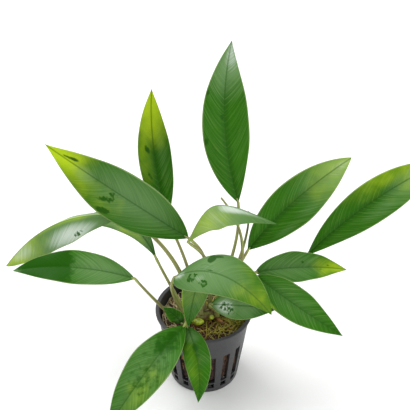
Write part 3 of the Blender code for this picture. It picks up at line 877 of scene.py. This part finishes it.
def stalk_material(colours):
    """Fibrous rind of a living stalk: satin, olive, with brown and yellow-green fibres along it."""
    material, add = new_material("leaf stalk, fibrous rind")
    length = add("UVMap", uv_map="length")
    # Fibres are a tenth of the way round and run for a fifth of the stalk
    stretch = add("VectorMath", {0: length.outputs[0], 1: (10, 5, 0)}, operation="MULTIPLY")
    fibres = add("TexNoise", {"Vector": stretch.outputs[0], "Scale": 1, "Detail": 3})
    place = add("TexCoord")
    flush = add("TexNoise", {"Vector": place.outputs["Object"], "Scale": 1000 / 14, "Detail": 1})
    fresh = add("MapRange", {"Value": fibres.outputs["Fac"], "From Min": 0.45, "From Max": 0.65})
    old = add(
        "MapRange", {"Value": flush.outputs["Fac"], "From Min": 0.45, "From Max": 0.65, "To Max": 0.6}
    )
    rind = add(
        "Mix", {0: fresh.outputs[0], 6: (*colours.rind, 1), 7: (*colours.green, 1)}, data_type="RGBA"
    )
    aged = add("Mix", {0: old.outputs[0], 6: rind.outputs[2], 7: (*colours.brown, 1)}, data_type="RGBA")
    bump = add("Bump", {"Height": fibres.outputs["Fac"], "Strength": 0.4, "Distance": 0.0003})
    shader = add(
        "BsdfPrincipled",
        {"Base Color": aged.outputs[2], "Roughness": 0.38, "Normal": bump.outputs[0], "IOR": 1.42},
    )
    add("OutputMaterial", {"Surface": shader.outputs[0]})
    return material


class ANUBIAS_OT_stalks(bpy.types.Operator):
    """Grow the leaf stalks and the two bare stalks"""

    bl_idname = "anubias.stalks"
    bl_label = "Stalks"

    def execute(self, context):
        finish = stalk_material(settings().stalk)
        for leaf in LEAVES:
            mesh = swept_mesh(f"petiole_{leaf.name}", [stalk_line(leaf)], STALK_SIDES)
            piece(f"petiole_{leaf.name}", mesh, (finish,), [f"stalk_{leaf.name}"])
        for name, root, middle, top, radius in BARE_STALKS:
            root, middle, top = mm(*root), mm(*middle), mm(*top)
            handle = middle * 2 - (root + top) / 2
            shares = [row / STALK_ROWS for row in range(STALK_ROWS + 1)]
            points = [root * (1 - t) ** 2 + handle * 2 * t * (1 - t) + top * t * t for t in shares]
            radii = [radius * 0.001 * (1.2 - 0.7 * t) for t in shares]
            mesh = swept_mesh(f"petiole_{name}", [(points, radii)], STALK_SIDES)
            piece(f"petiole_{name}", mesh, (finish,), [name])
        return {"FINISHED"}


# Pot


def pot_radius(sizes, z):
    """The outside of the tapered wall at a height in millimetres."""
    return sizes.foot_radius + (sizes.top_radius - sizes.foot_radius) * z / sizes.height


def slot_blocks(sizes):
    """One object of blocks that cut a long slot, a window and a floor slot at each of the places."""
    blocks = (
        (pot_radius(sizes, (SLOT_BOTTOM + SLOT_TOP) / 2), SLOT_WIDTH, SLOT_DEPTH, SLOT_BOTTOM, SLOT_TOP),
        (pot_radius(sizes, WINDOW_BOTTOM), WINDOW_WIDTH, WINDOW_DEPTH, WINDOW_BOTTOM, WINDOW_TOP),
        (
            (FLOOR_SLOT_INNER + FLOOR_SLOT_OUTER) / 2,
            FLOOR_SLOT_WIDTH,
            FLOOR_SLOT_OUTER - FLOOR_SLOT_INNER,
            -CUT_PAST,
            sizes.wall + CUT_PAST,
        ),
    )
    bm = bmesh.new()
    for number in range(SLOT_COUNT):
        angle = math.radians(SLOT_FIRST_ANGLE + number * 360 / SLOT_COUNT)
        turn = Matrix.Rotation(angle, 4, "Z")
        for radius, width, depth, low, high in blocks:
            size = Matrix.Diagonal((*mm(width, depth, high - low), 1))
            place = Matrix.Translation(mm(0, -radius, (low + high) / 2))
            bmesh.ops.create_cube(bm, size=1, matrix=turn @ place @ size)
    cutter = bpy.data.objects.new("slot_blocks", mesh_of("slot_blocks", bm, smooth=False))
    bpy.context.scene.collection.objects.link(cutter)
    return cutter


def pot_mesh(sizes):
    """The turned wall, floor and rim, before its slots are cut."""
    rim_under = sizes.height - sizes.rim_thickness
    wall = sizes.wall
    profile = (
        (0, wall),
        (pot_radius(sizes, wall) - wall, wall),
        (pot_radius(sizes, sizes.height) - wall, sizes.height - 0.3),
        (pot_radius(sizes, sizes.height) - wall + 0.3, sizes.height),
        (sizes.rim_radius - EDGE_CHAMFER, sizes.height),
        (sizes.rim_radius - EDGE_CHAMFER * 0.3, sizes.height - EDGE_CHAMFER * 0.3),
        (sizes.rim_radius, sizes.height - EDGE_CHAMFER),
        (sizes.rim_radius, rim_under + EDGE_CHAMFER),
        (sizes.rim_radius - EDGE_CHAMFER, rim_under),
        (pot_radius(sizes, rim_under), rim_under),
        (pot_radius(sizes, EDGE_CHAMFER), EDGE_CHAMFER),
        (pot_radius(sizes, 0) - EDGE_CHAMFER, 0),
        (0, 0),
    )
    bm = bmesh.new()
    verts = [bm.verts.new(mm(radius, 0, z)) for radius, z in profile]
    for one, other in zip(verts, verts[1:]):
        bm.edges.new((one, other))
    return mesh_of("pot", bm, smooth=False)


def pot_material(sizes):
    """Black polypropylene, injection moulded: a satin skin with faint flow marks and fine scuffs."""
    material, add = new_material("polypropylene, injection moulded")
    place = add("TexCoord")
    # Flow marks are about 8 mm apart, and scuffs 0.8 mm
    flow = add("TexNoise", {"Vector": place.outputs["Object"], "Scale": 1000 / 8})
    scuffs = add("TexNoise", {"Vector": place.outputs["Object"], "Scale": 1000 / 0.8, "Detail": 4})
    worn = add(
        "Mix",
        {0: flow.outputs["Fac"], 6: (*sizes.colour, 1), 7: (*[c * 1.35 for c in sizes.colour], 1)},
        data_type="RGBA",
    )
    rough = add(
        "MapRange",
        {"Value": scuffs.outputs["Fac"], "From Min": 0.3, "From Max": 0.7, "To Min": 0.38, "To Max": 0.54},
    )
    bump = add("Bump", {"Height": scuffs.outputs["Fac"], "Strength": 0.15, "Distance": 0.0001})
    shader = add(
        "BsdfPrincipled",
        {
            "Base Color": worn.outputs[2],
            "Roughness": rough.outputs[0],
            "Normal": bump.outputs[0],
            "IOR": 1.49,
        },
    )
    add("OutputMaterial", {"Surface": shader.outputs[0]})
    return material


class ANUBIAS_OT_pot(bpy.types.Operator):
    """Mould the net pot"""

    bl_idname = "anubias.pot"
    bl_label = "Net pot"

    def execute(self, context):
        sizes = settings().pot
        pot = piece("pot", pot_mesh(sizes), (pot_material(sizes),), ["net_pot"])
        screw = pot.modifiers.new("turn", "SCREW")
        screw.steps = screw.render_steps = POT_SIDES
        screw.use_merge_vertices = True
        screw.merge_threshold = 0.00005
        cut = pot.modifiers.new("slots", "BOOLEAN")
        cut.object = slot_blocks(sizes)
        applied(pot)
        bpy.data.objects.remove(bpy.data.objects["slot_blocks"])
        pot.data.shade_smooth()
        pot.data.set_sharp_from_angle(angle=SHARP_ANGLE)
        return {"FINISHED"}


# Plug, rhizome, roots and moss


def plug_radius(pot, z):
    return pot_radius(pot, z) - pot.wall - PLUG_GAP


def plug_height(plug, x, y):
    """The lumpy top of the plug at a place in millimetres."""
    lumps = noise.noise(Vector((x, y, 0)) / 6) + 0.5 * noise.noise(Vector((x, y, 7)) / 2.2)
    return plug.top - 0.5 + 0.7 * lumps


def plug_mesh(plug, pot):
    """A drum of matted wool, its side and top roughened by noise."""
    rings = [(plug_radius(pot, plug.bottom) * share, plug.bottom, False) for share in (0.02, 0.5, 0.9)]
    for row in range(PLUG_ROWS + 1):
        z = plug.bottom + (plug.top - plug.bottom) * row / PLUG_ROWS
        rings.append((plug_radius(pot, z), z, False))
    top = plug_radius(pot, plug.top)
    rings += [(top * (1 - row / PLUG_TOP_RINGS), plug.top, True) for row in range(1, PLUG_TOP_RINGS)]
    bm = bmesh.new()
    before = None
    for radius, z, on_top in rings:
        ring = []
        for number in range(PLUG_SIDES):
            angle = 2 * math.pi * number / PLUG_SIDES
            x, y = math.cos(angle), math.sin(angle)
            fray = 0.5 + 0.5 * noise.noise(Vector((x * radius, y * radius, z)) / 1.7)
            reach = radius - (0 if on_top else PLUG_FRAY * fray)
            height = plug_height(plug, x * radius, y * radius) if on_top else z
            ring.append(bm.verts.new(mm(x * reach, y * reach, height)))
        if before:
            for number in range(PLUG_SIDES):
                following = (number + 1) % PLUG_SIDES
                bm.faces.new((before[number], before[following], ring[following], ring[number]))
        else:
            bm.faces.new(ring[::-1])
        before = ring
    bm.faces.new(before)
    return mesh_of("plug", bm)


def fibre_material(name, dark, light, grain_mm, roughness, bump_mm=0.3):
    """Rough plant or wool fibres: dull, with light and dark strands about a grain across."""
    material, add = new_material(name)
    place = add("TexCoord")
    strands = add("TexNoise", {"Vector": place.outputs["Object"], "Scale": 1000 / grain_mm, "Detail": 4})
    spread = add("MapRange", {"Value": strands.outputs["Fac"], "From Min": 0.35, "From Max": 0.68})
    colour = add("Mix", {0: spread.outputs[0], 6: (*dark, 1), 7: (*light, 1)}, data_type="RGBA")
    bump = add("Bump", {"Height": strands.outputs["Fac"], "Strength": 0.8, "Distance": bump_mm * 0.001})
    shader = add(
        "BsdfPrincipled",
        {"Base Color": colour.outputs[2], "Roughness": roughness, "Normal": bump.outputs[0]},
    )
    add("OutputMaterial", {"Surface": shader.outputs[0]})
    return material


def wandering(chance, start, heading, length, steps, bend):
    """Points of a strand that starts out one way and wanders."""
    points, at, way = [start.copy()], start.copy(), heading.normalized()
    for _ in range(steps):
        way = (way + Vector([chance.uniform(-bend, bend) for _ in range(3)])).normalized()
        at = at + way * length / steps
        points.append(at.copy())
    return points


def drawn_in(at, reach):
    """Keeps a point in millimetres inside the plug's edge, which is reach from the middle."""
    flat = math.hypot(at.x, at.y)
    if flat > reach - STRAND_INSET:
        at.x, at.y = at.x * (reach - STRAND_INSET) / flat, at.y * (reach - STRAND_INSET) / flat


def tapered(line, thick):
    """A strand in metres: its points, and its radii from thick down."""
    shares = [1 - STRAND_TAPER * row / STRAND_STEPS for row in range(STRAND_STEPS + 1)]
    return [at * 0.001 for at in line], [thick * share * 0.001 for share in shares]


def lying_strand(chance, plug, reach):
    """A strand that lies anywhere on the plug's top, here and there sunk in it."""
    angle, share = chance.uniform(0, 2 * math.pi), math.sqrt(chance.random()) * LYING_WITHIN
    x, y = math.cos(angle) * share, math.sin(angle) * share
    start = Vector((x * reach, y * reach, plug.top))
    way = Vector((chance.uniform(-1, 1), chance.uniform(-1, 1), 0))
    line = wandering(chance, start, way, chance.uniform(5, 14), STRAND_STEPS, 0.45)
    for at in line:
        drawn_in(at, reach)
        at.z = plug_height(plug, at.x, at.y) + chance.uniform(-0.1, 0.5)
    return tapered(line, chance.uniform(0.12, 0.4))


def arching_strand(chance, plug, reach, across, along):
    """A strand that starts somewhere in a rectangle of the plug's top and rises off it in an arch."""
    start = Vector((chance.uniform(*across), chance.uniform(*along), 0))
    way = Vector((chance.uniform(-1, 1), chance.uniform(-1, 1), 0))
    line = wandering(chance, start, way, chance.uniform(7, 17), STRAND_STEPS, 0.35)
    arch = chance.uniform(0.3, 2.2)
    for row, at in enumerate(line):
        drawn_in(at, reach)
        at.z = plug_height(plug, at.x, at.y) + arch * math.sin(math.pi * row / STRAND_STEPS)
    return tapered(line, chance.uniform(0.22, 0.42))


def slot_strand(chance, plug, pot, middle):
    """A strand on the plug's side that climbs behind the slot whose middle is at an angle."""
    z = chance.uniform(plug.bottom + 1, SLOT_TOP - 1)
    angle = middle + chance.uniform(-0.09, 0.09)
    tilt = chance.uniform(-1, 1)
    line = []
    for row in range(-SLOT_STRAND_ROWS, SLOT_STRAND_ROWS + 1):
        climb = z + row * chance.uniform(0.5, 1.6)
        lift = max(plug.bottom + 0.5, min(SLOT_TOP + 2, climb))
        swing = angle + tilt * row * 0.02
        reach = plug_radius(pot, lift) + chance.uniform(-0.3, 0.1)
        line.append(mm(math.cos(swing) * reach, math.sin(swing) * reach, lift))
    return line, [chance.uniform(0.15, 0.5) * 0.001] * len(line)


class ANUBIAS_OT_plug(bpy.types.Operator):
    """Fill the pot with matted wool and roots"""

    bl_idname = "anubias.plug"
    bl_label = "Plug and roots"

    def execute(self, context):
        plug, pot = settings().plug, settings().pot
        wool = fibre_material("mineral wool, wet and rooted", plug.wool, plug.wool_light, 1.4, 0.85, 0.6)
        piece("plug", plug_mesh(plug, pot), (wool,), ["root_plug"])

        chance = random.Random(5)
        old, fresh, straw = [], [], []
        reach = plug_radius(pot, plug.top)
        for _ in range(LYING_COUNT):
            strand = lying_strand(chance, plug, reach)
            chance.choice((old, old, old, fresh, straw)).append(strand)
        # Straw lies thick at the left, moss threads at the right and fresh roots in front
        threads = []
        for group, across, along, count in (
            (straw, (-21, -4), (-10, 14), 70),
            (threads, (2, 22), (-14, 8), 120),
            (fresh, (-8, 12), (-16, 0), 24),
        ):
            group += [arching_strand(chance, plug, reach, across, along) for _ in range(count)]
        for slot in range(SLOT_COUNT):
            middle = math.radians(SLOT_FIRST_ANGLE + slot * 360 / SLOT_COUNT) - math.pi / 2
            for _ in range(SLOT_STRANDS):
                strand = slot_strand(chance, plug, pot, middle)
                chance.choice((old, old, old, old, fresh)).append(strand)
        groups = (
            ("old_roots", old, plug.root, [c * 0.5 for c in plug.root]),
            ("fresh_roots", fresh, plug.root_fresh, plug.root),
            ("straw", straw, plug.straw, [c * 0.5 for c in plug.straw]),
            ("moss_threads", threads, plug.moss, [c * 0.5 for c in plug.moss]),
        )
        for name, rods, light, dark in groups:
            finish = fibre_material(f"{name.replace('_', ' ')}, dried rind", dark, light, 0.8, 0.7)
            piece(name, swept_mesh(name, rods, STRAND_SIDES), (finish,), ())
        return {"FINISHED"}


class ANUBIAS_OT_rhizome(bpy.types.Operator):
    """Grow the rhizome with its bud, stub and thick root"""

    bl_idname = "anubias.rhizome"
    bl_label = "Rhizome"

    def execute(self, context):
        plug = settings().plug
        path = [mm(x, y, z) for x, y, z, _ in RHIZOME_PATH]
        widths = [Vector((radius, 0, 0)) for *_, radius in RHIZOME_PATH]
        points, radii = [], []
        for row in range(RHIZOME_ROWS + 1):
            t = row / RHIZOME_ROWS
            # The scars of old leaves ring the rhizome at even steps
            scar = math.exp(-(((t * LEAF_SCARS) % 1 - 0.5) ** 2) / 0.012)
            end = min(1.0, 6 * t + 0.35, 6 * (1 - t) + 0.35)
            points.append(through(path, t))
            radii.append(through(widths, t).x * 0.001 * end * (0.94 + 0.08 * scar))
        skin = fibre_material("rhizome, living bark", plug.root, plug.rhizome, 2.4, 0.5)
        body = swept_mesh("rhizome_skin", [(points, radii)], 20)
        piece("rhizome_skin", body, (skin,), ["rhizome"])

        tips = fibre_material("bud, young leaf tissue", plug.rhizome, plug.bud, 3.0, 0.4)
        shares = [row / SHORT_ROWS for row in range(SHORT_ROWS + 1)]
        bud_left, bud_right = mm(*BUD_AT) - mm(*BUD_REACH), mm(*BUD_AT) + mm(*BUD_REACH)
        bud = (
            [bud_left.lerp(bud_right, t) for t in shares],
            [BUD_RADIUS * 0.001 * max(0.12, math.sin(math.pi * t)) ** 0.6 for t in shares],
        )
        stub = (
            [mm(*STUB_FROM).lerp(mm(*STUB_TO), t) for t in shares],
            [STUB_RADIUS * 0.001 * (1 - 0.12 * t) * (0.7 if t == 1 else 1) for t in shares],
        )
        piece("bud", swept_mesh("bud", [bud, stub], 16), (tips,), ())

        path = [mm(*at) for at in ROOT_PATH]
        root = ([through(path, t) for t in shares], [ROOT_RADIUS * 0.001 * (1 - 0.35 * t) for t in shares])
        rind = fibre_material("thick root, fresh rind", plug.root, plug.root_fresh, 1.5, 0.5)
        piece("thick_root", swept_mesh("thick_root", [root], 14), (rind,), ())
        return {"FINISHED"}


def moss_thread(chance):
    """A short thread that stands out of the tuft, upwards or to a side."""
    way = Vector([chance.gauss(0, 1) for _ in range(3)]).normalized()
    way.z = abs(way.z) * 0.8
    spread = [share * size * chance.uniform(0.1, 0.75) for share, size in zip(way, MOSS_SIZE)]
    start = Vector(MOSS_AT) + Vector(spread)
    line = [at * 0.001 for at in wandering(chance, start, way, chance.uniform(1.2, 2.6), 5, 0.7)]
    thick = chance.uniform(0.12, 0.26) * 0.001
    return line, [thick * (1 - 0.15 * row) for row in range(len(line))]


def rim_strand(chance):
    """The strand over the rim, and the short threads that stand off it in all directions."""
    path = [mm(*at) for at in STRAND_PATH]
    strand = [through(path, row / RIM_ROWS) for row in range(RIM_ROWS + 1)]
    rods = [(strand, [0.0005 * (1 - 0.5 * row / RIM_ROWS) for row in range(RIM_ROWS + 1)])]
    for start in strand[2:RIM_ROWS]:
        for _ in range(3):
            way = Vector([chance.uniform(-1, 1) for _ in range(3)])
            line = wandering(chance, start * 1000, way, chance.uniform(0.6, 1.3), 3, 0.4)
            rods.append(([at * 0.001 for at in line], [0.00016, 0.00015, 0.00012, 0.00008]))
    return rods


class ANUBIAS_OT_moss(bpy.types.Operator):
    """Grow the moss tuft and its strand over the rim"""

    bl_idname = "anubias.moss"
    bl_label = "Moss"

    def execute(self, context):
        plug = settings().plug
        chance = random.Random(11)
        yellow, green = [], []
        for _ in range(MOSS_THREADS):
            thread = moss_thread(chance)
            chance.choice((yellow, yellow, green)).append(thread)
        yellow += rim_strand(chance)
        for name, rods, look, colour, share, replaced in (
            ("moss_yellow", yellow, "java moss, yellowing", plug.moss, 0.45, ["moss_tuft"]),
            ("moss_green", green, "java moss, fresh", plug.moss_green, 0.4, ()),
        ):
            finish = fibre_material(look, [c * share for c in colour], colour, 1.2, 0.7)
            piece(name, swept_mesh(name, rods, STRAND_SIDES), (finish,), replaced)
        return {"FINISHED"}


# Stage


class ANUBIAS_OT_stage(bpy.types.Operator):
    """Lay the floor, hang the lights and set up the camera"""

    bl_idname = "anubias.stage"
    bl_label = "Stage"

    def execute(self, context):
        stage, scene = settings().stage, context.scene
        material, add = new_material("board, matt white paint")
        place = add("TexCoord")
        # The roller leaves a nap about 3 mm across
        nap = add("TexNoise", {"Vector": place.outputs["Object"], "Scale": 1000 / 3})
        bump = add("Bump", {"Height": nap.outputs["Fac"], "Strength": 0.05, "Distance": 0.0001})
        shader = add(
            "BsdfPrincipled", {"Base Color": (*stage.floor, 1), "Roughness": 0.7, "Normal": bump.outputs[0]}
        )
        add("OutputMaterial", {"Surface": shader.outputs[0]})
        bm = bmesh.new()
        bmesh.ops.create_grid(bm, x_segments=1, y_segments=1, size=FLOOR_SIZE)
        mesh = mesh_of("floor", bm, smooth=False)
        mesh.materials.append(material)
        floor = bpy.data.objects.new("floor", mesh)
        scene.collection.objects.link(floor)

        world = bpy.data.worlds.new("studio")
        world.use_nodes = True
        sky = world.node_tree.nodes["Background"]
        sky.inputs[0].default_value = (1, 1, 1, 1)
        sky.inputs[1].default_value = stage.sky
        scene.world = world

        lamps = (
            ("key", (-0.35, 0.25, 0.9), 0.7, stage.key),
            ("fill", (0.85, -0.5, 0.4), 0.6, stage.key * 0.5),
        )
        for name, at, size, power in lamps:
            light = bpy.data.lights.new(name, "AREA")
            light.size, light.energy = size, power
            lamp = bpy.data.objects.new(name, light)
            lamp.location = at
            lamp.rotation_mode = "QUATERNION"
            lamp.rotation_quaternion = (Vector(LAMP_AIM) - lamp.location).to_track_quat("-Z", "Y")
            scene.collection.objects.link(lamp)

        camera = bpy.data.objects.new("camera", bpy.data.cameras.new("camera"))
        camera.data.sensor_width, camera.data.lens = SENSOR_WIDTH, stage.lens
        camera.location = mm(*CAMERA_AT)
        camera.rotation_euler = (math.pi / 2 - stage.pitch, 0, 0)
        scene.collection.objects.link(camera)
        scene.camera = camera
        scene.view_settings.view_transform = "Standard"
        return {"FINISHED"}


# Add-on


class AnubiasSettings(bpy.types.PropertyGroup):
    """All settings of the plant and its stage."""

    leaf: bpy.props.PointerProperty(type=LeafSettings)
    stalk: bpy.props.PointerProperty(type=StalkSettings)
    pot: bpy.props.PointerProperty(type=PotSettings)
    plug: bpy.props.PointerProperty(type=PlugSettings)
    stage: bpy.props.PointerProperty(type=StageSettings)


class ANUBIAS_PT_panel(bpy.types.Panel):
    """Lists what can be built and its settings"""

    bl_idname = "ANUBIAS_PT_panel"
    bl_label = "Anubias"
    bl_space_type = "VIEW_3D"
    bl_region_type = "UI"
    bl_category = "Anubias"

    def draw(self, context):
        sections = (
            (("anubias.pot",), context.scene.anubias.pot),
            (("anubias.plug", "anubias.rhizome", "anubias.moss"), context.scene.anubias.plug),
            (("anubias.stalks",), context.scene.anubias.stalk),
            (("anubias.blades",), context.scene.anubias.leaf),
            (("anubias.stage",), context.scene.anubias.stage),
        )
        for operators, group in sections:
            box = self.layout.box()
            for operator in operators:
                box.operator(operator)
            for name in group.bl_rna.properties.keys():
                if name not in ("rna_type", "name"):
                    box.prop(group, name)


CLASSES = (
    LeafSettings,
    StalkSettings,
    PotSettings,
    PlugSettings,
    StageSettings,
    AnubiasSettings,
    ANUBIAS_OT_pot,
    ANUBIAS_OT_plug,
    ANUBIAS_OT_rhizome,
    ANUBIAS_OT_moss,
    ANUBIAS_OT_stalks,
    ANUBIAS_OT_blades,
    ANUBIAS_OT_stage,
    ANUBIAS_PT_panel,
)


def register():
    for made in CLASSES:
        bpy.utils.register_class(made)
    bpy.types.Scene.anubias = bpy.props.PointerProperty(type=AnubiasSettings)


def unregister():
    del bpy.types.Scene.anubias
    for made in reversed(CLASSES):
        bpy.utils.unregister_class(made)


def main():
    register()
    bpy.ops.anubias.pot()
    bpy.ops.anubias.plug()
    bpy.ops.anubias.rhizome()
    bpy.ops.anubias.moss()
    bpy.ops.anubias.stalks()
    bpy.ops.anubias.blades()
    bpy.ops.anubias.stage()


if __name__ == "__main__":
    main()
